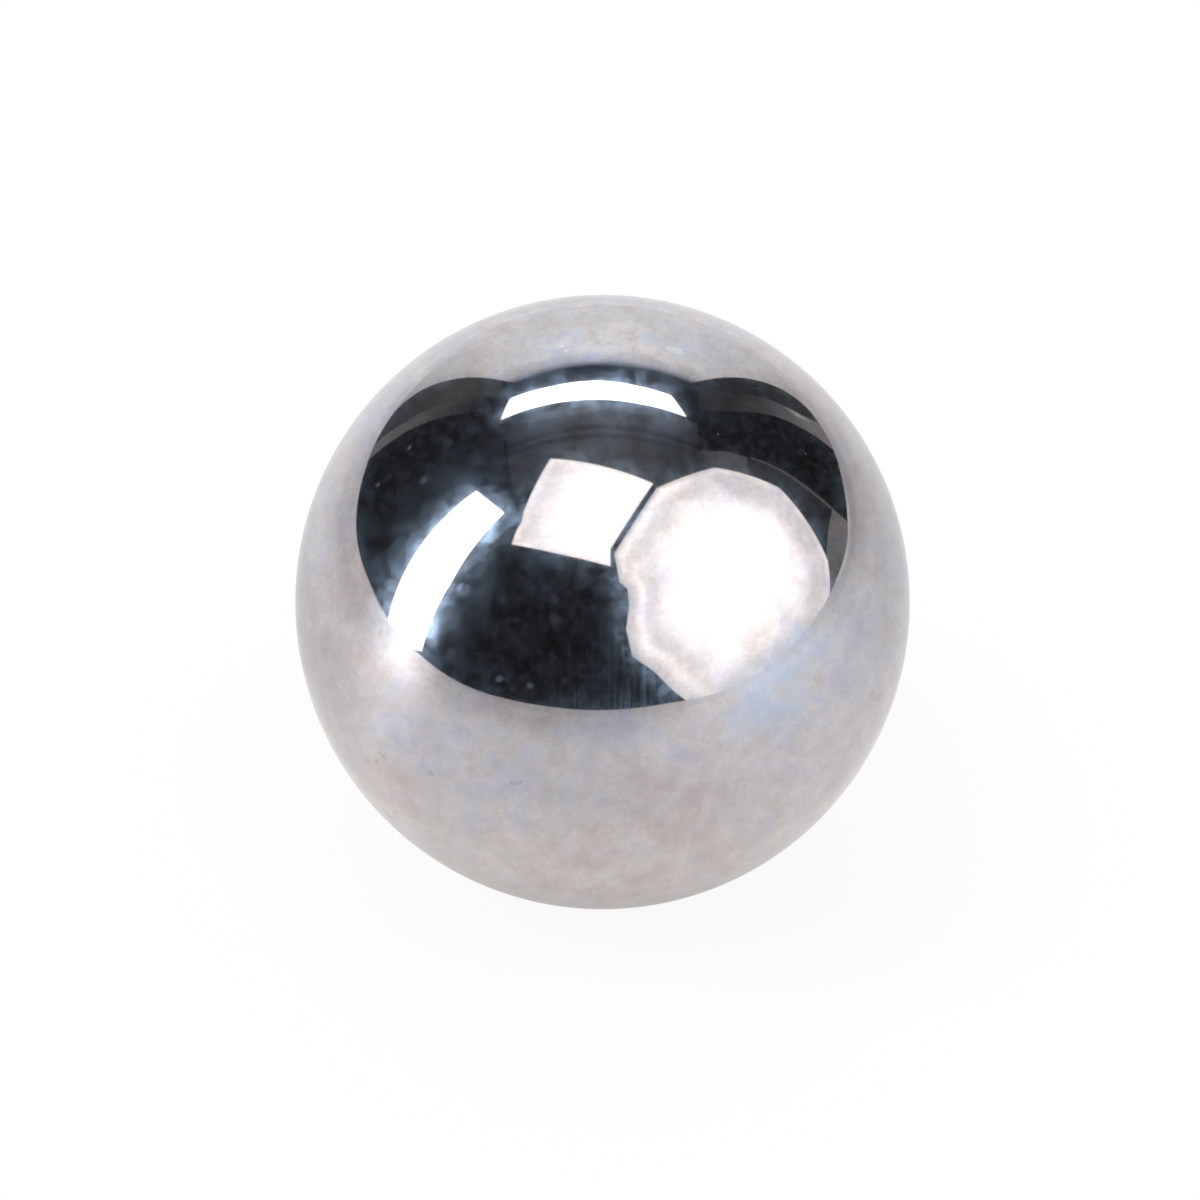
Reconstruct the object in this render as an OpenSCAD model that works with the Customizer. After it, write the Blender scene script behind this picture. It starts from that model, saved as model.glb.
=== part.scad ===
// Polished steel ball: one solid sphere, ground and lapped all over.
// The origin is the centre of the ball, with +Z up.

/* [Ball] */
// Diameter of the ball, in millimetres
ball_d = 25; // [5:0.5:100]

/* [Hidden] */
// Facets round a full turn when the ball is previewed
$fn = 180;

// The whole ball: a true sphere about the origin, with no flat, bore or seam
module ball() {
    color("silver")
        sphere(d = ball_d);
}

ball();
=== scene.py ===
import math

import bmesh
import bpy
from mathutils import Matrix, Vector


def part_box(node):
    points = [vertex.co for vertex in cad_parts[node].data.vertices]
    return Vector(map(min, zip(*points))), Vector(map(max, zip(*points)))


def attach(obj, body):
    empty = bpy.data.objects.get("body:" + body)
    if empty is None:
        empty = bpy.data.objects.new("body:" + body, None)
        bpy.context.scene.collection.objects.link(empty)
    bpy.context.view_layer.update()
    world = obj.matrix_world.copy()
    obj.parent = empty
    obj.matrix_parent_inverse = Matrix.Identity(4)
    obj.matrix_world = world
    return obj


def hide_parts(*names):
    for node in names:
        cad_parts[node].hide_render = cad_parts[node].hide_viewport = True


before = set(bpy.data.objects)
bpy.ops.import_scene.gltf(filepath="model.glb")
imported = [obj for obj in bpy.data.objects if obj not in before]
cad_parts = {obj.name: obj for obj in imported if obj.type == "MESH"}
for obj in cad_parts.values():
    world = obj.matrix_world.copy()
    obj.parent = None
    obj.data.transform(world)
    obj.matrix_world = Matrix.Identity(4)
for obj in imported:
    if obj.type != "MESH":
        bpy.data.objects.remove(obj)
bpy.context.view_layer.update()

# The photograph, in its own pixels
PHOTO_SIDE = 1200
BALL_PIXEL = (602.0, 601.5)
BALL_PIXELS = 307.3

# The camera, in metres and degrees
CAMERA_AWAY = 0.6
CAMERA_RISE = math.radians(39.0)
SENSOR_MM = 36.0
NEAREST_SEEN = 0.01

# The ball, as the frame gives it
BALL_LOW, BALL_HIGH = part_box("ball")
BALL_R = (BALL_HIGH.z - BALL_LOW.z) / 2
BALL_HALVINGS = 7

# Directions of the picture, and the slope of one pixel of it
TO_CAMERA = Vector((0.0, -math.cos(CAMERA_RISE), math.sin(CAMERA_RISE)))
PICTURE_RIGHT = Vector((1.0, 0.0, 0.0))
PICTURE_UP = Vector((0.0, math.sin(CAMERA_RISE), math.cos(CAMERA_RISE)))
EYE = TO_CAMERA * CAMERA_AWAY
PIXEL_SLOPE = BALL_R / math.sqrt(CAMERA_AWAY ** 2 - BALL_R ** 2) / BALL_PIXELS
PIXEL_ON_BALL = BALL_R / BALL_PIXELS

# Marks on the ball: the pixel at the middle of each and its radius, in pixels
PITS = [
    ((383.0, 756.0), 2.6),
    ((379.0, 752.5), 1.6),
    ((376.0, 761.0), 2.4),
    ((430.5, 772.5), 2.9),
    ((511.5, 783.0), 2.3),
    ((516.0, 783.0), 2.8),
    ((520.0, 781.5), 1.8),
    ((388.5, 815.0), 4.6),
    ((391.5, 817.0), 3.6),
    ((544.0, 887.0), 2.6),
]
PIT_DEPTH_SHARE = 0.05
PIT_SPREADS = (5.0, 3.6, 2.8, 2.2)
DUST = [
    ((499.0, 678.5), 3.4),
    ((529.5, 685.0), 3.2),
    ((423.5, 480.0), 3.6),
    ((409.0, 447.0), 2.6),
    ((377.5, 484.0), 2.4),
    ((805.0, 453.0), 1.6),
    ((650.0, 375.0), 2.4),
    ((717.5, 433.5), 1.5),
]
SMEARS = [
    ((553.0, 598.0), 5.0),
    ((555.0, 619.0), 5.0),
    ((583.0, 579.0), 7.0),
    ((632.0, 418.0), 5.0),
    ((447.0, 442.0), 5.0),
]
RUBBED = [
    ((606.0, 300.5), 1.6),
    ((610.0, 300.5), 1.8),
    ((590.0, 301.0), 1.6),
    ((575.0, 302.5), 1.5),
    ((656.0, 302.5), 1.7),
    ((660.0, 303.5), 2.0),
    ((688.0, 307.5), 1.8),
    ((623.0, 335.0), 1.6),
    ((629.0, 335.5), 1.9),
    ((561.5, 345.5), 2.0),
    ((566.0, 350.0), 2.4),
    ((670.0, 348.0), 5.0),
    ((677.0, 350.0), 5.5),
    ((730.0, 332.0), 3.5),
    ((736.0, 335.0), 4.0),
]

# Patches of the film: where each lies and its radius, in pixels
WARM_FILM = [
    ((325.0, 640.0), 70.0),
    ((600.0, 880.0), 110.0),
    ((400.0, 790.0), 45.0),
    ((348.0, 590.0), 45.0),
    ((795.0, 385.0), 45.0),
    ((700.0, 800.0), 40.0),
]
COOL_FILM = [
    ((530.0, 785.0), 50.0),
    ((870.0, 610.0), 60.0),
    ((402.0, 390.0), 60.0),
    ((682.0, 347.0), 32.0),
    ((560.0, 345.0), 30.0),
    ((606.0, 358.0), 24.0),
    ((790.0, 690.0), 55.0),
    ((855.0, 685.0), 50.0),
    ((455.0, 795.0), 38.0),
    ((705.0, 345.0), 55.0),
    ((604.0, 800.0), 30.0),
    ((600.0, 716.0), 28.0),
]
HAZY_FILM = [
    ((778.0, 690.0), 34.0),
    ((806.0, 652.0), 26.0),
    ((752.0, 706.0), 26.0),
    ((676.0, 350.0), 14.0),
    ((700.0, 360.0), 13.0),
    ((652.0, 338.0), 11.0),
    ((731.0, 333.0), 7.0),
    ((591.0, 354.0), 9.0),
    ((552.0, 353.0), 9.0),
    ((576.0, 335.0), 7.0),
    ((462.0, 590.0), 6.0),
    ((488.0, 531.0), 10.0),
    ((434.0, 632.0), 9.0),
    ((513.0, 508.0), 11.0),
    ((513.0, 524.0), 9.0),
    ((611.0, 586.0), 11.0),
    ((619.0, 607.0), 12.0),
    ((620.0, 630.0), 9.0),
    ((629.0, 655.0), 10.0),
    ((646.0, 673.0), 11.0),
    ((667.0, 692.0), 9.0),
]
WIPED_FILM = [((614.0, 690.0), 52.0)]
SCUFFED_FILM = [((600.0, 312.0), 150.0), ((890.0, 665.0), 45.0)]

# How softly the marks and the patches fade at their edges, as a share of their radius
CRISP = 0.5
SOFT = 0.6
WIPED = 0.7
FADED = 0.8

# The colours of the steel's layers, and how rough each layer is
WHITE = (1.0, 1.0, 1.0, 1.0)
ROSY_STEEL = (0.618, 0.556, 0.549, 1.0)
CREAM_STEEL = (0.640, 0.618, 0.624, 1.0)
BLUISH_STEEL = (0.580, 0.582, 0.655, 1.0)
UNDER_HAZE = (1.3, 1.0, 0.65, 1.0)
HAZE_COLOUR = (0.40, 0.54, 0.74, 1.0)
POWDER_COLOUR = (0.165, 0.19, 0.255, 1.0)
MIRROR_ROUGHNESS = 0.035
HAZE_ROUGHNESS = 0.23
POWDER_ROUGHNESS = 0.9

# The patterns: cells to the metre, detail, roughness and, for some, how far they are drawn out of shape
CLOUDS = (520.0, 6.0, 0.86)
FLECKS = (1100.0, 6.0, 0.72, 0.3)
GRAIN = (3600.0, 3.0, 0.6)
BLOOM = (1000.0, 6.0, 0.75)
SPECKS = (2800.0, 3.0, 0.6)
RAGGED = (2600.0, 3.0, 0.6)
HAIRLINES = (800.0, 3.0, 0.6, 0.6)
STREAKS = (1.0, 3.0, 0.6)
STREAKS_ACROSS = 5200.0
STREAKS_ALONG = 330.0
CREASES = (8.0, 6.0, 0.72)
CEILING_UNEVEN_GLOW = (9.0, 4.0, 0.6)

# How far the film's patterns are drawn out along the camera's line, as a share of their depth
FILM_PULL = 0.5

# The part of each pattern over which it sets in
HUE_RANGE = (0.36, 0.64)
BLOOM_RANGE = (0.38, 0.66)
PATCH_RANGE = (0.3, 0.6)
STREAK_RANGE = (0.38, 0.75)
SPECK_RANGE = (0.4, 0.75)

# How much of itself each layer or mark of the steel shows
COOL_LEAN = 0.06
WARM_LEAN = 0.08
CLOUD_TINT = 0.14
GRAIN_TINT = 0.03
FLECK_SHADE = 0.66
SCUFF_SHADE = 0.4
PIT_SHADE = 0.25
RUBBED_SHINE = 0.22
HAIRLINE_SHINE = 0.09
HAIRLINE_WIDTH = 0.016
LEAST_HAZE = 0.05
BLOOM_HAZE = 0.22
PATCH_HAZE = 0.35
STREAK_HAZE = 0.34
STREAK_LEAST = 0.14
DUST_POWDER = 0.18
SMEAR_POWDER = 0.06
SPECK_POWDER = 0.045

# The borders of the lamps' faces, in steps from the edge in to the middle: how far in each step lies,
# as a share, and how bright it is
FOLDED_EDGE = [
    (0.0, 0.75), (0.03, 1.3), (0.07, 1.86), (0.11, 1.85), (0.15, 1.6),
    (0.2, 1.36), (0.27, 1.4), (0.34, 1.6), (0.43, 1.85), (0.95, 3.0),
]
BOUND_EDGE = [
    (0.0, 1.15), (0.03, 1.36), (0.07, 1.34), (0.1, 1.16), (0.16, 1.16),
    (0.24, 1.18), (0.31, 1.25), (0.37, 1.42), (0.46, 1.76), (0.95, 3.0),
]
TUCKED_EDGE = [
    (0.0, 1.1), (0.05, 1.3), (0.085, 1.38), (0.11, 1.6), (0.145, 1.86),
    (0.17, 1.8), (0.21, 1.44), (0.28, 1.38), (0.38, 1.78), (0.95, 3.0),
]
SLACK_EDGE = [
    (0.0, 1.05), (0.08, 1.05), (0.14, 1.06), (0.18, 1.07), (0.24, 1.1),
    (0.3, 1.14), (0.38, 1.26), (0.46, 1.5), (0.55, 1.8), (0.95, 2.6),
]
TURNED_EDGE = [
    (0.0, 1.05), (0.06, 1.05), (0.1, 1.08), (0.13, 1.15), (0.16, 1.24),
    (0.2, 1.28), (0.24, 1.38), (0.3, 1.58), (0.4, 1.84), (0.95, 2.8),
]
DIM_EDGE = [
    (0.0, 1.25), (0.04, 1.75), (0.1, 1.58), (0.16, 1.46), (0.22, 1.5),
    (0.3, 1.62), (0.38, 1.8), (0.46, 1.95), (0.6, 2.4), (0.95, 4.0),
]
OPEN_EDGE = [
    (0.0, 1.3), (0.04, 1.9), (0.1, 2.1), (0.16, 2.2), (0.22, 2.3),
    (0.3, 2.4), (0.38, 2.5), (0.46, 2.6), (0.6, 3.0), (0.95, 4.0),
]
TALL_EDGE = [(0.0, 2.0), (0.1, 11.0), (0.95, 15.0)]
BACK_EDGE = [(0.0, 2.0), (0.1, 8.0), (0.95, 10.0)]

# The lamps as the ball mirrors them: the corners in pixels, and the border that starts there
OCTAGON_LAMP = [
    ((656.0, 487.5), FOLDED_EDGE), ((714.0, 467.0), BOUND_EDGE), ((779.0, 487.5), BOUND_EDGE),
    ((807.5, 522.5), BOUND_EDGE), ((827.5, 560.5), BOUND_EDGE), ((829.8, 590.0), BOUND_EDGE),
    ((822.0, 645.0), SLACK_EDGE), ((745.0, 708.0), SLACK_EDGE), ((704.0, 714.0), TURNED_EDGE),
    ((673.0, 690.5), TUCKED_EDGE), ((653.0, 670.5), TUCKED_EDGE), ((632.0, 656.0), TUCKED_EDGE),
    ((625.5, 629.0), TUCKED_EDGE), ((628.5, 604.0), TUCKED_EDGE), ((627.0, 588.5), TUCKED_EDGE),
    ((619.0, 581.5), TUCKED_EDGE), ((613.5, 553.0), FOLDED_EDGE),
]
SQUARE_LAMP = [
    ((550.0, 458.0), DIM_EDGE), ((600.0, 465.0), OPEN_EDGE), ((653.0, 483.0), OPEN_EDGE),
    ((610.0, 549.0), OPEN_EDGE), ((610.0, 566.0), OPEN_EDGE), ((560.0, 554.0), OPEN_EDGE),
    ((511.0, 544.0), DIM_EDGE), ((515.5, 530.5), DIM_EDGE), ((521.0, 521.5), DIM_EDGE),
    ((522.5, 512.5), DIM_EDGE),
]
TALL_STRIP = [
    ((476.0, 490.0), TALL_EDGE), ((504.0, 512.0), TALL_EDGE), ((451.5, 580.0), TALL_EDGE),
    ((421.0, 651.0), TALL_EDGE), ((384.0, 639.0), TALL_EDGE),
]
BACK_STRIP = [
    ((509.5, 398.0), BACK_EDGE), ((550.0, 386.0), BACK_EDGE), ((598.0, 380.0), BACK_EDGE),
    ((640.0, 386.0), BACK_EDGE), ((671.0, 395.0), BACK_EDGE), ((686.0, 416.5), BACK_EDGE),
    ((640.0, 403.5), BACK_EDGE), ((598.0, 399.0), BACK_EDGE), ((550.0, 403.5), BACK_EDGE),
    ((500.0, 419.5), BACK_EDGE),
]
OCTAGON_CORE = (735.0, 560.0)
SQUARE_CORE = (594.0, 517.0)
TALL_CORE = (446.0, 573.0)
BACK_CORE = (598.0, 391.0)
LAMP_AWAY = 0.7
LAMP_CLOTH = (1.0, 0.97, 0.96, 1.0)

# Dim boards round the table, as the ball mirrors them, which glow with painted light though they are no
# lamps:
# pixels across each, and how bright it is there
LEFT_BOARD = [
    ((364.0, 464.0), (368.0, 450.0), 0.17),
    ((384.0, 446.0), (386.0, 434.0), 0.17),
    ((400.0, 434.5), (401.0, 424.0), 0.15),
    ((420.0, 424.5), (421.0, 412.0), 0.11),
    ((440.0, 417.5), (440.0, 404.0), 0.07, 0.085),
    ((462.0, 413.0), (460.0, 399.0), 0.03, 0.07),
    ((488.0, 411.0), (484.0, 393.0), 0.012, 0.06),
]
LEFT_CORNER = [
    ((380.0, 440.0), (380.0, 428.0), 0.045),
    ((401.0, 424.5), (396.0, 408.0), 0.06),
    ((421.0, 412.5), (412.0, 395.0), 0.062),
    ((440.0, 404.5), (436.0, 382.0), 0.07),
    ((460.0, 399.5), (456.0, 377.0), 0.085),
    ((484.0, 393.5), (482.0, 375.0), 0.065),
    ((500.0, 404.0), (503.0, 380.0), 0.02, 0.05),
]
RIGHT_BOARD = [
    ((699.0, 411.0), (697.0, 396.0), 0.036),
    ((730.0, 411.5), (730.0, 394.0), 0.044),
    ((762.0, 413.0), (763.0, 397.0), 0.08),
    ((781.0, 418.0), (785.0, 406.0), 0.14),
    ((800.0, 427.0), (803.0, 415.5), 0.21),
    ((816.0, 436.5), (818.0, 423.0), 0.24),
    ((832.0, 449.0), (833.0, 436.0), 0.24),
]
RIGHT_CORNER = [
    ((699.0, 397.0), (697.0, 380.0), 0.032),
    ((730.0, 395.0), (733.0, 373.0), 0.032),
    ((763.0, 398.0), (767.0, 380.0), 0.036),
    ((785.0, 407.0), (793.0, 392.0), 0.041),
    ((803.0, 416.5), (810.0, 404.0), 0.041),
    ((818.0, 424.0), (826.0, 418.0), 0.054),
]
RIGHT_RAIL = [
    ((783.0, 407.4), (784.0, 405.6), 0.20),
    ((796.0, 415.4), (797.0, 412.8), 0.50),
    ((810.0, 423.0), (810.0, 421.0), 0.30),
]
FAR_POST = [
    ((750.0, 458.4), (750.6, 456.6), 0.10),
    ((766.0, 464.2), (767.0, 462.2), 0.11),
    ((782.0, 472.2), (783.0, 470.0), 0.12),
    ((800.0, 484.2), (801.0, 482.0), 0.13),
    ((816.0, 496.7), (817.3, 494.6), 0.13),
    ((830.0, 508.7), (831.3, 506.6), 0.13),
    ((842.0, 521.7), (843.5, 519.8), 0.13),
]
FAR_WALL = [
    ((748.0, 458.0), (744.0, 482.0), 0.035),
    ((766.0, 464.0), (755.0, 488.0), 0.037),
    ((782.0, 472.0), (768.0, 494.0), 0.037),
    ((800.0, 484.0), (785.0, 507.0), 0.04),
    ((816.0, 496.5), (800.0, 522.0), 0.034),
    ((831.0, 508.5), (815.0, 552.0), 0.026),
]
FAR_BOX = [
    ((696.0, 474.0), (696.0, 450.0), 0.04),
    ((712.0, 476.0), (712.0, 450.5), 0.09),
    ((728.0, 478.0), (729.0, 451.5), 0.11),
    ((746.0, 484.0), (747.0, 457.0), 0.09),
]
LOW_BOARD = [
    ((836.0, 592.0), (828.0, 588.0), 0.12),
    ((843.0, 572.0), (826.0, 566.0), 0.14),
    ((849.0, 553.0), (826.0, 548.0), 0.18),
    ((852.0, 536.0), (827.5, 532.0), 0.22),
    ((851.0, 526.0), (829.5, 519.0), 0.21),
    ((846.0, 520.0), (832.0, 508.5), 0.18),
]
# A painted highlight: a thin glowing ribbon where the table's right edge catches the light
TABLE_EDGE_HIGHLIGHT = [
    ((838.0, 465.0), (840.6, 465.0), 0.50),
    ((841.9, 480.0), (844.6, 480.0), 0.54),
    ((845.4, 500.0), (848.0, 500.0), 0.72),
    ((847.0, 520.0), (849.8, 520.0), 0.70),
    ((847.0, 540.0), (849.6, 540.0), 0.68),
    ((843.1, 560.0), (845.8, 560.0), 0.78),
    ((835.0, 580.0), (838.0, 580.0), 0.70),
]
EDGE_HIGHLIGHT_AWAY = 0.2
BOARD_AWAY = 1.3
WALL_AWAY = 1.4
BOARD_CRUMPLE = 0.8

# The dim ceiling: its height, its sides, and where its two dark beams cross it
CEILING_UP = 1.0
CEILING_BOX = (-0.60, 0.60, -0.1, 0.54)
BEAMS = (0.24, 0.315)
BEAM_HALF = 0.03
BEAM_CORE = 0.3 * BEAM_HALF
BEAM_SHADE = 0.35
CEILING_LEVEL = 0.105
CEILING_FALL = 0.06
CEILING_FALL_RANGE = (0.1, 0.6)
CEILING_GREY = (0.93, 0.97, 1.06, 1.0)

# The white table: its edge as the ball mirrors it, in pixels, from the left round the front to the right
TABLE_EDGE = [
    (388.0, 419.5), (373.5, 445.0), (364.0, 471.5), (356.0, 532.5), (369.0, 582.0), (394.5, 628.0),
    (418.0, 653.0), (463.5, 684.3), (514.5, 700.4), (565.0, 708.1), (660.0, 704.0), (712.0, 694.0),
    (740.0, 682.5), (795.0, 641.0), (832.5, 586.5), (847.0, 536.0), (846.5, 510.0), (838.0, 463.5),
    (827.5, 437.0),
]
TABLE_CORNERS = [(0.385, 0.58), (-0.38, 0.58)]
EDGE_STEPS = 8

# How bright the table's glow is to the steel, all of it painted light: under the ball, and what each ring
# adds or takes from its start to its end, in metres from the ball; the first rings paint the ball's
# shadow under it, the later ones paint the light falling off away from it
TABLE_LEVEL = 0.51
TABLE_PAINTED_RINGS = [
    (0.36, 0.003, 0.013),
    (0.02, 0.014, 0.04),
    (-0.22, 0.04, 0.13),
    (-0.13, 0.13, 0.25),
    (-0.05, 0.3, 0.65),
]

# The table's painted sheen and painted shade, lamp light and shade painted into its glow: its heading in
# degrees, how narrow it is, what it adds or takes, and the ring over which it sets in
TABLE_PAINTED_SHEENS = [
    (58.0, 4.0, 0.50, 0.01, 0.16),
    (-74.0, 50.0, 1.12, 0.0, 0.12),
    (-82.0, 6.0, 0.12, 0.05, 0.3),
    (180.0, 5.0, 0.30, 0.06, 0.14),
    (180.0, 12.0, 0.14, 0.15, 0.5),
    (-152.0, 20.0, 0.12, 0.03, 0.08),
    (160.0, 20.0, 0.12, 0.03, 0.08),
    (0.0, 6.0, 0.10, 0.12, 0.22),
    (0.0, 4.0, -0.07, 0.014, 0.03),
    (-35.0, 6.0, -0.05, 0.015, 0.05),
    (132.0, 6.0, -0.09, 0.008, 0.02),
    (142.0, 30.0, -0.05, 0.05, 0.1),
    (113.0, 8.0, -0.07, 0.022, 0.035),
    (113.0, 8.0, 0.07, 0.06, 0.08),
    (-124.0, 8.0, -0.10, 0.014, 0.022),
    (-124.0, 8.0, 0.10, 0.03, 0.045),
    (-104.0, 12.0, 0.20, 0.09, 0.25),
]
TABLE_NEAR_TINT = (1.02, 0.985, 0.955, 1.0)
TABLE_FAR_TINT = (1.0, 0.985, 1.0, 1.0)
TABLE_TINT_RING = (0.012, 0.03)

# The table to the camera: white, but for the ball's shadow within this ring
SHADOW_RING = (0.014, 0.024)
SHADOW_LEVEL = 0.91
SHADOW_GREY = (0.06, 0.06, 0.06, 1.0)

# The white backdrop behind the ball: how far off it stands, and its half width at each height
BACKDROP_AWAY = 0.56
BACKDROP_SIDES = [
    (-0.0125, 0.375), (0.012, 0.350), (0.053, 0.334), (0.114, 0.327),
    (0.235, 0.319), (0.39, 0.310), (0.53, 0.293),
]

# How bright the backdrop's glow is, painted light that climbs with height and falls off to the sides, and
# the heights over which it dims, turns bluish and ends
BACKDROP_LEVEL = 0.93
BACKDROP_CLIMB = 0.55
BACKDROP_SIDE_FALL = 0.34
BACKDROP_SIDE_SCALE = 3.1
BACKDROP_SIDE_CURVE = 2.2
BACKDROP_TOP_FALL = 0.35
BACKDROP_TOP_TINT = (0.95, 1.01, 1.17, 1.0)
BACKDROP_DIMS = (0.33, 0.45)
BACKDROP_BLUES = (0.38, 0.5)
BACKDROP_ENDS = (0.43, 0.517)

# The light of the air: what the steel mirrors where nothing stands, and what falls on all else
ROOM_DARK = 0.013
ROOM_SOFT = 0.5


class Wire:
    """A socket of a finish. Arithmetic on it adds the Math nodes that it needs."""

    def __init__(self, finish, socket):
        self.finish = finish
        self.socket = socket

    def math(self, operation, first, second):
        return self.finish.node("ShaderNodeMath", {"operation": operation}, {0: first, 1: second})

    def __add__(self, other):
        return self.math("ADD", self, other)

    def __radd__(self, other):
        return self.math("ADD", other, self)

    def __sub__(self, other):
        return self.math("SUBTRACT", self, other)

    def __rsub__(self, other):
        return self.math("SUBTRACT", other, self)

    def __mul__(self, other):
        return self.math("MULTIPLY", self, other)

    def __rmul__(self, other):
        return self.math("MULTIPLY", other, self)

    def __pow__(self, other):
        return self.math("POWER", self, other)

    def __abs__(self):
        return self.math("ABSOLUTE", self, 0.0)

    def at_least(self, other):
        return self.math("MAXIMUM", self, other)

    def rises(self, start, end):
        """0 below start, 1 above end, and a smooth step between them."""
        settings = {"interpolation_type": "SMOOTHSTEP"}
        return self.finish.node(
            "ShaderNodeMapRange", settings, {"Value": self, "From Min": start, "From Max": end}
        )

    def other(self, name):
        """Another output of the same node."""
        return Wire(self.finish, self.socket.node.outputs[name])


class Finish:
    """The nodes of one material, or of the world."""

    def __init__(self, owner):
        owner.use_nodes = True
        self.owner = owner
        self.tree = owner.node_tree
        self.tree.nodes.clear()

    def node(self, kind, settings=(), sockets=(), output=0):
        """Adds a node: its settings first, then the values or links of its sockets."""
        node = self.tree.nodes.new(kind)
        for name, value in dict(settings).items():
            setattr(node, name, value)
        for name, value in dict(sockets).items():
            if isinstance(value, Wire):
                self.tree.links.new(value.socket, node.inputs[name])
            else:
                node.inputs[name].default_value = value
        return Wire(self, node.outputs[output]) if node.outputs else None

    def noise(self, place, scale, detail, roughness, distortion=0.0):
        sockets = {
            "Vector": place,
            "Scale": scale,
            "Detail": detail,
            "Roughness": roughness,
            "Distortion": distortion,
        }
        return self.node("ShaderNodeTexNoise", {}, sockets)

    def vector(self, operation, first, second, output="Vector"):
        settings = {"operation": operation}
        return self.node("ShaderNodeVectorMath", settings, {0: first, 1: second}, output)

    def colour_between(self, share, first, second):
        settings = {"data_type": "RGBA"}
        return self.node("ShaderNodeMix", settings, {0: share, 6: first, 7: second}, 2)

    def tinted(self, colour, tint, share=1.0):
        settings = {"data_type": "RGBA", "blend_type": "MULTIPLY"}
        return self.node("ShaderNodeMix", settings, {0: share, 6: colour, 7: tint}, 2)

    def grey(self, value):
        return self.node("ShaderNodeCombineColor", {}, {0: value, 1: value, 2: value})

    def glow(self, level, tint=WHITE):
        return self.node("ShaderNodeEmission", {}, {"Color": self.tinted(self.grey(level), tint)})

    def coat(self, colour, metallic, roughness):
        sockets = {"Base Color": colour, "Metallic": metallic, "Roughness": roughness}
        return self.node("ShaderNodeBsdfPrincipled", {}, sockets)

    def mixed(self, share, first, second):
        return self.node("ShaderNodeMixShader", {}, {0: share, 1: first, 2: second})

    def ends_in(self, surface):
        in_world = isinstance(self.owner, bpy.types.World)
        kind = "ShaderNodeOutputWorld" if in_world else "ShaderNodeOutputMaterial"
        self.node(kind, {}, {"Surface": surface})
        return self.owner


def new_finish(name):
    return Finish(bpy.data.materials.new(name))


def new_object(name, mesh_maker, finish):
    """Turns a bmesh into an object of the scene with one finish."""
    mesh = bpy.data.meshes.new(name)
    mesh_maker.to_mesh(mesh)
    mesh_maker.free()
    mesh.materials.append(finish)
    made = bpy.data.objects.new(name, mesh)
    bpy.context.scene.collection.objects.link(made)
    return made


def on_ball(pixel):
    """The point of the ball that a pixel of the photograph shows, and the ray that meets it there."""
    across = (pixel[0] - BALL_PIXEL[0]) * PIXEL_SLOPE
    rise = (BALL_PIXEL[1] - pixel[1]) * PIXEL_SLOPE
    ray = (PICTURE_RIGHT * across + PICTURE_UP * rise - TO_CAMERA).normalized()
    nearest = -ray.dot(EYE)
    depth = nearest - math.sqrt(nearest ** 2 - CAMERA_AWAY ** 2 + BALL_R ** 2)
    return EYE + ray * depth, ray


def mirrored(pixel):
    """The point of the ball at a pixel, and the way that the ball mirrors the pixel's ray."""
    point, ray = on_ball(pixel)
    return point, ray.reflect(point.normalized())


def heading(angle):
    """The level direction at this angle, in degrees, from the camera's side round to the right."""
    turn = math.radians(angle)
    return Vector((math.sin(turn), -math.cos(turn), 0.0))


# The ball


def refine(maker, marks, spread):
    """Halves the edges round all the marks at once, and brings the new points out to the ball."""
    near = set()
    for middle, radius in marks:
        near.update(vert for vert in maker.verts if (vert.co - middle).length < spread * radius)
    edges = [edge for edge in maker.edges if near.issuperset(edge.verts)]
    cut = bmesh.ops.subdivide_edges(maker, edges=edges, cuts=1, use_grid_fill=True, use_single_edge=True)
    for part in cut["geom_inner"]:
        if isinstance(part, bmesh.types.BMVert):
            part.co = part.co.normalized() * BALL_R


def press_pit(maker, middle, radius):
    """Sinks a small round pit with a smooth lip."""
    for vert in maker.verts:
        share = (vert.co - middle).length / radius
        if share < 1.0:
            sink = PIT_DEPTH_SHARE * radius * (1.0 - share ** 2) ** 2
            vert.co -= vert.co.normalized() * sink


def pitted_ball(finish):
    """A true ball, fine enough to mirror cleanly, with the small pits of its surface."""
    maker = bmesh.new()
    bmesh.ops.create_icosphere(maker, subdivisions=BALL_HALVINGS, radius=BALL_R)
    marks = [(on_ball(pixel)[0], pixels * PIXEL_ON_BALL) for pixel, pixels in PITS]
    for spread in PIT_SPREADS:
        refine(maker, marks, spread)
    for middle, radius in marks:
        press_pit(maker, middle, radius)
    for face in maker.faces:
        face.smooth = True
    return new_object("polished_ball", maker, finish)


def spots(finish, place, marks, softness, ragged=None):
    """1 inside the marks and 0 outside them, with soft edges that the ragged wire moves in and out."""
    total = None
    for pixel, pixels in marks:
        radius = pixels * PIXEL_ON_BALL
        edge = finish.vector("DISTANCE", place, on_ball(pixel)[0], "Value")
        if ragged is not None:
            edge = edge + radius * ragged
        spot = 1.0 - edge.rises(radius * (1.0 - softness), radius * (1.0 + softness))
        total = spot if total is None else total.at_least(spot)
    return total


def wiped_streaks(finish, place):
    """Fine upright streaks that a cloth left, over one patch of the ball."""
    across = finish.vector("DOT_PRODUCT", place, PICTURE_RIGHT, "Value")
    along = finish.vector("DOT_PRODUCT", place, PICTURE_UP, "Value")
    sockets = {0: across * STREAKS_ACROSS, 1: along * STREAKS_ALONG, 2: 0.0}
    drawn = finish.node("ShaderNodeCombineXYZ", {}, sockets)
    streaks = STREAK_LEAST + finish.noise(drawn, *STREAKS).rises(*STREAK_RANGE)
    return streaks * spots(finish, place, WIPED_FILM, WIPED)


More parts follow.
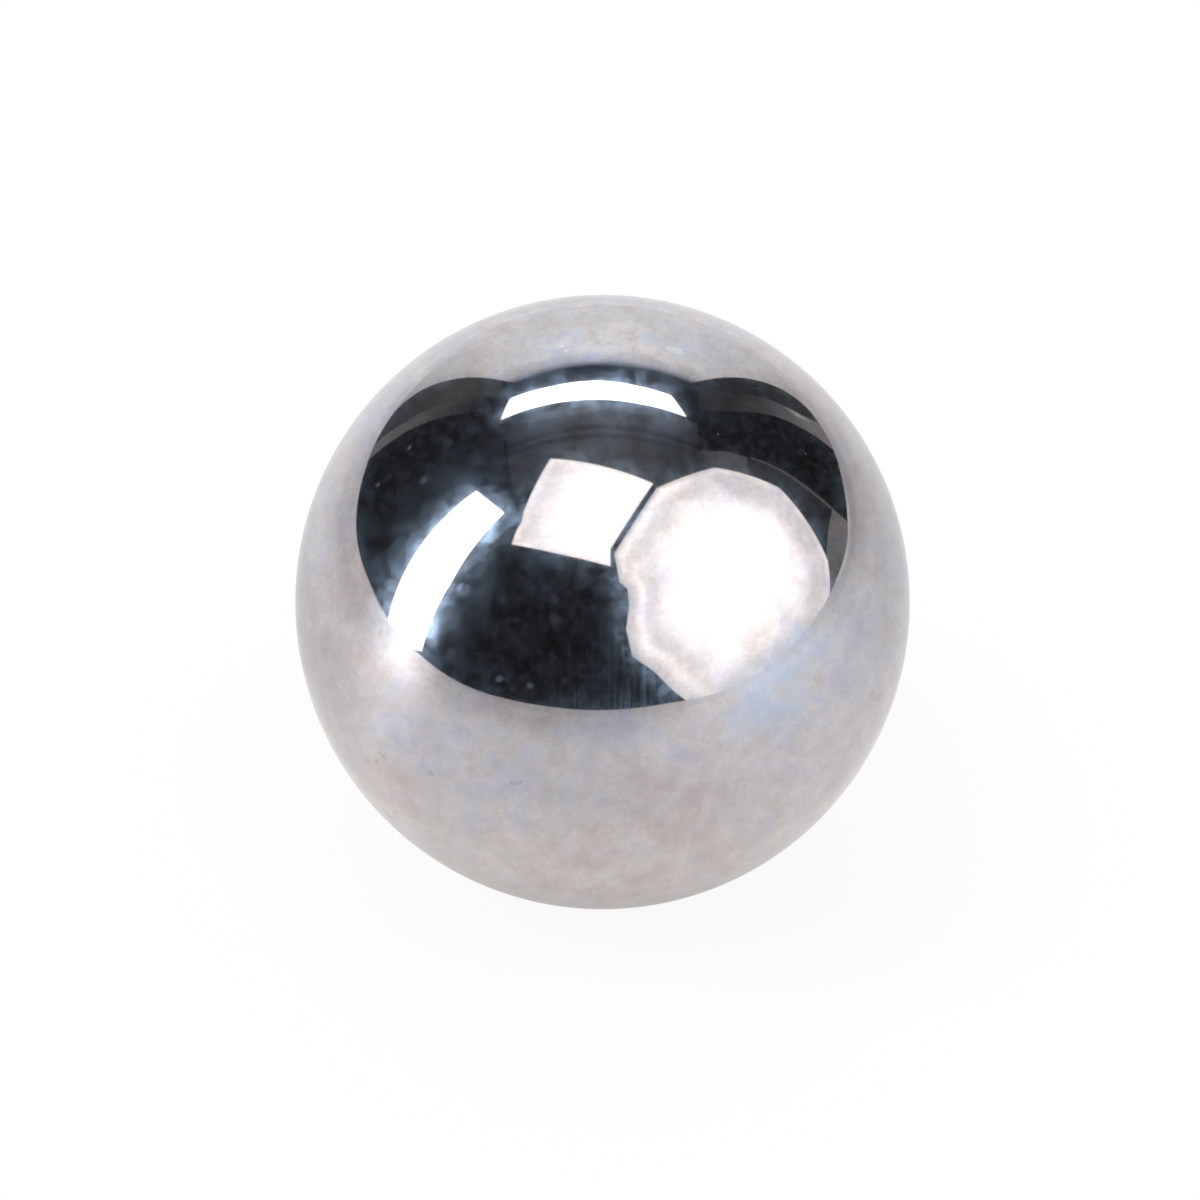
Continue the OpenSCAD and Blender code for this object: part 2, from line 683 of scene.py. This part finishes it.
def film_colour(finish, place, drawn):
    """The mottled film, from rosy through cream to bluish, which leans with the warm and cool patches."""
    clouds = finish.noise(drawn, *CLOUDS)
    cool = spots(finish, place, COOL_FILM, FADED)
    warm = spots(finish, place, WARM_FILM, FADED)
    hue = (clouds + (COOL_LEAN * cool - WARM_LEAN * warm)).rises(*HUE_RANGE)
    pale = finish.colour_between(hue.rises(0.0, 0.5), ROSY_STEEL, CREAM_STEEL)
    film = finish.colour_between(hue.rises(0.5, 1.0), pale, BLUISH_STEEL)
    return finish.tinted(film, clouds.other("Color"), CLOUD_TINT)


def film_shade(finish, place, drawn, ragged):
    """What the flecks, pits, hairlines and rubbed marks do to the brightness of the film."""
    flecks = finish.noise(drawn, *FLECKS) - 0.5
    pits = spots(finish, place, PITS, SOFT, ragged)
    scuffed = spots(finish, place, SCUFFED_FILM, CRISP)
    ridge = finish.noise(drawn, *HAIRLINES) - 0.5
    hairlines = scuffed * (1.0 - abs(ridge).rises(0.0, HAIRLINE_WIDTH))
    rubbed = RUBBED_SHINE * spots(finish, place, RUBBED, SOFT, ragged) + HAIRLINE_SHINE * hairlines
    flecked = 1.0 + (FLECK_SHADE + SCUFF_SHADE * scuffed) * flecks
    return flecked * (1.0 - PIT_SHADE * pits + rubbed)


def polished_steel():
    """Lapped steel: a clear mirror under a faint bluish bloom, with a mottled film, dust and pits."""
    finish = new_finish("polished steel")
    place = finish.node("ShaderNodeTexCoord", output="Object")
    depth = finish.vector("DOT_PRODUCT", place, TO_CAMERA, "Value")
    sockets = {0: TO_CAMERA, "Scale": FILM_PULL * depth}
    pulled = finish.node("ShaderNodeVectorMath", {"operation": "SCALE"}, sockets)
    drawn = finish.vector("SUBTRACT", place, pulled)
    bloom = finish.noise(drawn, *BLOOM)
    grain = finish.noise(drawn, *GRAIN).other("Color")
    specks = finish.noise(drawn, *SPECKS)
    ragged = finish.noise(place, *RAGGED) - 0.5

    cloudy = LEAST_HAZE + BLOOM_HAZE * bloom.rises(*BLOOM_RANGE)
    hazy = spots(finish, place, HAZY_FILM, FADED, ragged)
    patches = PATCH_HAZE * hazy * bloom.rises(*PATCH_RANGE)
    haze_share = cloudy + patches + STREAK_HAZE * wiped_streaks(finish, place)
    haze = finish.coat(HAZE_COLOUR, 1.0, HAZE_ROUGHNESS)

    under_haze = finish.colour_between(cloudy, WHITE, UNDER_HAZE)
    film = finish.tinted(film_colour(finish, place, drawn), under_haze)
    shade = finish.grey(film_shade(finish, place, drawn, ragged))
    steel = finish.tinted(finish.tinted(film, grain, GRAIN_TINT), shade)
    mirror = finish.coat(steel, 1.0, MIRROR_ROUGHNESS)

    dust = DUST_POWDER * spots(finish, place, DUST, CRISP)
    smears = SMEAR_POWDER * spots(finish, place, SMEARS, FADED)
    powder_share = dust + smears + SPECK_POWDER * specks.rises(*SPECK_RANGE)
    powder = finish.coat(POWDER_COLOUR, 0.0, POWDER_ROUGHNESS)

    bright = finish.mixed(haze_share, mirror, haze)
    return finish.ends_in(finish.mixed(powder_share, bright, powder))


# The studio


def table_finish():
    """White to the camera, with the ball's soft shadow; to the steel, a white glow of painted light, with
    a painted shadow under the ball and painted sheen and shade from the lamps.
    """
    finish = new_finish("white table")
    place = finish.node("ShaderNodeTexCoord", output="Object")
    flat = finish.vector("MULTIPLY", place, (1.0, 1.0, 0.0))
    away = finish.vector("LENGTH", flat, (0.0, 0.0, 0.0), "Value")
    way = finish.vector("NORMALIZE", flat, (0.0, 0.0, 0.0))

    # To the steel the table shows painted light: the rings paint the ball's shadow and the falloff, the
    # sheens paint the lamps' light and shade
    level = TABLE_LEVEL
    for amount, start, end in TABLE_PAINTED_RINGS:
        level = level + amount * away.rises(start, end)
    for angle, narrow, amount, start, end in TABLE_PAINTED_SHEENS:
        facing = finish.vector("DOT_PRODUCT", way, heading(angle), "Value").at_least(0.0)
        level = level + amount * facing ** narrow * away.rises(start, end)
    tint = finish.colour_between(away.rises(*TABLE_TINT_RING), TABLE_NEAR_TINT, TABLE_FAR_TINT)
    to_steel = finish.glow(level, tint)

    lit = finish.node("ShaderNodeBsdfDiffuse", {}, {"Color": SHADOW_GREY})
    shadowed = finish.node("ShaderNodeAddShader", {}, {0: finish.glow(SHADOW_LEVEL), 1: lit})
    to_camera = finish.mixed(away.rises(*SHADOW_RING), shadowed, finish.glow(1.0))

    path = finish.node("ShaderNodeLightPath", output="Is Camera Ray")
    above = finish.mixed(path, to_steel, to_camera)
    under = finish.node("ShaderNodeNewGeometry", output="Backfacing")
    clear = finish.node("ShaderNodeBsdfTransparent")
    return finish.ends_in(finish.mixed(under, above, clear))


def smooth_line(places):
    """A smooth line through the places, with a few steps between each two."""
    line = places[:1]
    for before, first, second, after in zip(places, places[1:], places[2:], places[3:]):
        for step in range(EDGE_STEPS):
            share = step / EDGE_STEPS
            pull = (2.0 * before - 5.0 * first + 4.0 * second - after) * share ** 2
            turn = (3.0 * first - before - 3.0 * second + after) * share ** 3
            line.append(first + ((second - before) * share + pull + turn) / 2.0)
    return line + places[-2:]


def white_table():
    """A table whose edge the ball mirrors at the measured pixels, out to the foot of the backdrop."""
    places = []
    for pixel in TABLE_EDGE:
        point, way = mirrored(pixel)
        places.append(point - way * ((point.z + BALL_R) / way.z))
    corners = [Vector((x, y, -BALL_R)) for x, y in TABLE_CORNERS]
    maker = bmesh.new()
    middle = maker.verts.new((0.0, 0.0, -BALL_R))
    rim = [maker.verts.new(place) for place in smooth_line(places) + corners]
    for first, second in zip(rim, rim[1:] + rim[:1]):
        maker.faces.new((middle, first, second))
    return new_object("white_table", maker, table_finish())


def backdrop_finish():
    """A glow of painted light for white paper, brightest in the middle, that fades out at its top."""
    finish = new_finish("white backdrop")
    place = finish.node("ShaderNodeTexCoord", output="Object")
    across = finish.node("ShaderNodeSeparateXYZ", {}, {0: place})
    height = across.other("Z")
    side_fall = BACKDROP_SIDE_FALL * abs(across * BACKDROP_SIDE_SCALE) ** BACKDROP_SIDE_CURVE
    top_fall = 1.0 - BACKDROP_TOP_FALL * height.rises(*BACKDROP_DIMS)
    fade = top_fall * (1.0 - height.rises(*BACKDROP_ENDS))
    level = (BACKDROP_LEVEL + BACKDROP_CLIMB * height - side_fall) * fade
    tint = finish.colour_between(height.rises(*BACKDROP_BLUES), WHITE, BACKDROP_TOP_TINT)
    return finish.ends_in(finish.glow(level, tint))


def white_backdrop():
    maker = bmesh.new()
    rungs = []
    for height, half in BACKDROP_SIDES:
        rungs.append([maker.verts.new((side * half, BACKDROP_AWAY, height)) for side in (-1, 1)])
    for low, high in zip(rungs, rungs[1:]):
        maker.faces.new((low[0], low[1], high[1], high[0]))
    made = new_object("white_backdrop", maker, backdrop_finish())
    made.visible_camera = False
    return made


def lamp_finish(name, crumple):
    """A lamp's cloth face, as bright as its mesh says, with creases in the cloth; the boards' painted
    glow uses it too.
    """
    finish = new_finish(name)
    bright = finish.node("ShaderNodeAttribute", {"attribute_name": "bright"}, output="Fac")
    place = finish.node("ShaderNodeTexCoord", output="Object")
    creases = finish.noise(place, *CREASES) - 0.5
    return finish.ends_in(finish.glow(bright * (1.0 + crumple * creases), LAMP_CLOTH))


def shining_mesh(name, rows, closed, crumple):
    """Joins rows of places into a sheet, as bright as each place says and unseen by the camera."""
    maker = bmesh.new()
    bright = maker.verts.layers.float.new("bright")
    made_rows = []
    for row in rows:
        made_row = []
        for spot, level in row:
            vert = maker.verts.new(spot)
            vert[bright] = level
            made_row.append(vert)
        made_rows.append(made_row)
    for first, second in zip(made_rows, made_rows[1:]):
        count = len(first) if closed else len(first) - 1
        for k in range(count):
            after = (k + 1) % len(first)
            maker.faces.new((first[k], first[after], second[after], second[k]))
    if closed:
        maker.faces.new(made_rows[-1])
    made = new_object(name, maker, lamp_finish(name, crumple))
    made.visible_camera = False
    return made


def lamp(name, corners, core, crumple):
    """A flat lamp that the ball mirrors inside these corners, with their borders, round a bright core."""
    rays = [mirrored(core)] + [mirrored(pixel) for pixel, _ in corners]
    facing = sum((way for _, way in rays[1:]), Vector()).normalized()
    places = []
    for point, way in rays:
        places.append(point + way * ((LAMP_AWAY - point.dot(facing)) / way.dot(facing)))
    middle, edge = places[0], places[1:]
    columns = []
    for place, (_, border) in zip(edge, corners):
        columns.append([(place.lerp(middle, share), level) for share, level in border])
    return shining_mesh(name, list(zip(*columns)), True, crumple)


def board(name, columns, away=BOARD_AWAY):
    """A dim board that the ball mirrors between these pairs of pixels, glowing with painted light."""
    rows = []
    for low, high, *levels in columns:
        row = []
        for pixel, level in ((low, levels[0]), (high, levels[-1])):
            point, way = mirrored(pixel)
            row.append((point + way * away, level))
        rows.append(row)
    return shining_mesh(name, rows, False, BOARD_CRUMPLE)


def ceiling_finish():
    """Dim grey panels overhead, glowing with painted light, with two dark beams across them, palest near
    the middle and uneven.
    """
    finish = new_finish("ceiling")
    place = finish.node("ShaderNodeTexCoord", output="Object")
    across = finish.node("ShaderNodeSeparateXYZ", {}, {0: place})
    along = across.other("Y")
    uneven_glow = finish.noise(place, *CEILING_UNEVEN_GLOW)
    # Painted light: the glow falls off away from the middle and is uneven
    fall = CEILING_FALL * abs(across).rises(*CEILING_FALL_RANGE)
    level = (CEILING_LEVEL - fall) * (0.5 + uneven_glow)
    for beam in BEAMS:
        clear = abs(along - beam).rises(BEAM_CORE, BEAM_HALF)
        level = level * (1.0 - BEAM_SHADE + BEAM_SHADE * clear)
    return finish.ends_in(finish.glow(level, CEILING_GREY))


def ceiling():
    left, right, front, back = CEILING_BOX
    maker = bmesh.new()
    corners = [(left, front), (right, front), (right, back), (left, back)]
    maker.faces.new([maker.verts.new((x, y, CEILING_UP)) for x, y in corners])
    made = new_object("ceiling", maker, ceiling_finish())
    made.visible_camera = False
    return made


def studio_air():
    """The world: white to the camera, a dark room to the steel, and soft light for the rest."""
    world = bpy.data.worlds.new("studio")
    bpy.context.scene.world = world
    finish = Finish(world)
    camera = finish.node("ShaderNodeLightPath", output="Is Camera Ray")
    glossy = camera.other("Is Glossy Ray")
    strength = camera + glossy * ROOM_DARK + (1.0 - camera - glossy) * ROOM_SOFT
    finish.ends_in(finish.node("ShaderNodeBackground", {}, {"Strength": strength}))


def photographers_camera():
    lens = bpy.data.cameras.new("camera")
    lens.sensor_width = SENSOR_MM
    lens.lens = SENSOR_MM / (PHOTO_SIDE * PIXEL_SLOPE)
    lens.clip_start = NEAREST_SEEN
    middle = (PHOTO_SIDE - 1) / 2
    lens.shift_x = (middle - BALL_PIXEL[0]) / PHOTO_SIDE
    lens.shift_y = (BALL_PIXEL[1] - middle) / PHOTO_SIDE
    camera = bpy.data.objects.new("camera", lens)
    camera.location = EYE
    camera.rotation_euler = TO_CAMERA.to_track_quat("Z", "Y").to_euler()
    bpy.context.scene.collection.objects.link(camera)
    bpy.context.scene.camera = camera


photographers_camera()
studio_air()

ball = pitted_ball(polished_steel())
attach(ball, "root")
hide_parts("ball")

white_table()
white_backdrop()
lamp("octagon_lamp", OCTAGON_LAMP, OCTAGON_CORE, 0.7)
lamp("square_lamp", SQUARE_LAMP, SQUARE_CORE, 0.3)
lamp("tall_strip", TALL_STRIP, TALL_CORE, 0.0)
lamp("back_strip", BACK_STRIP, BACK_CORE, 0.0)
board("left_board", LEFT_BOARD)
board("left_corner", LEFT_CORNER, WALL_AWAY)
board("right_board", RIGHT_BOARD)
board("right_corner", RIGHT_CORNER, WALL_AWAY)
board("right_rail", RIGHT_RAIL, LAMP_AWAY)
board("far_post", FAR_POST)
board("far_wall", FAR_WALL, WALL_AWAY)
board("far_box", FAR_BOX)
board("low_board", LOW_BOARD)
# The painted highlight along the table's edge
board("table_edge_highlight", TABLE_EDGE_HIGHLIGHT, EDGE_HIGHLIGHT_AWAY)
ceiling()

bpy.context.scene.view_settings.view_transform = "Standard"
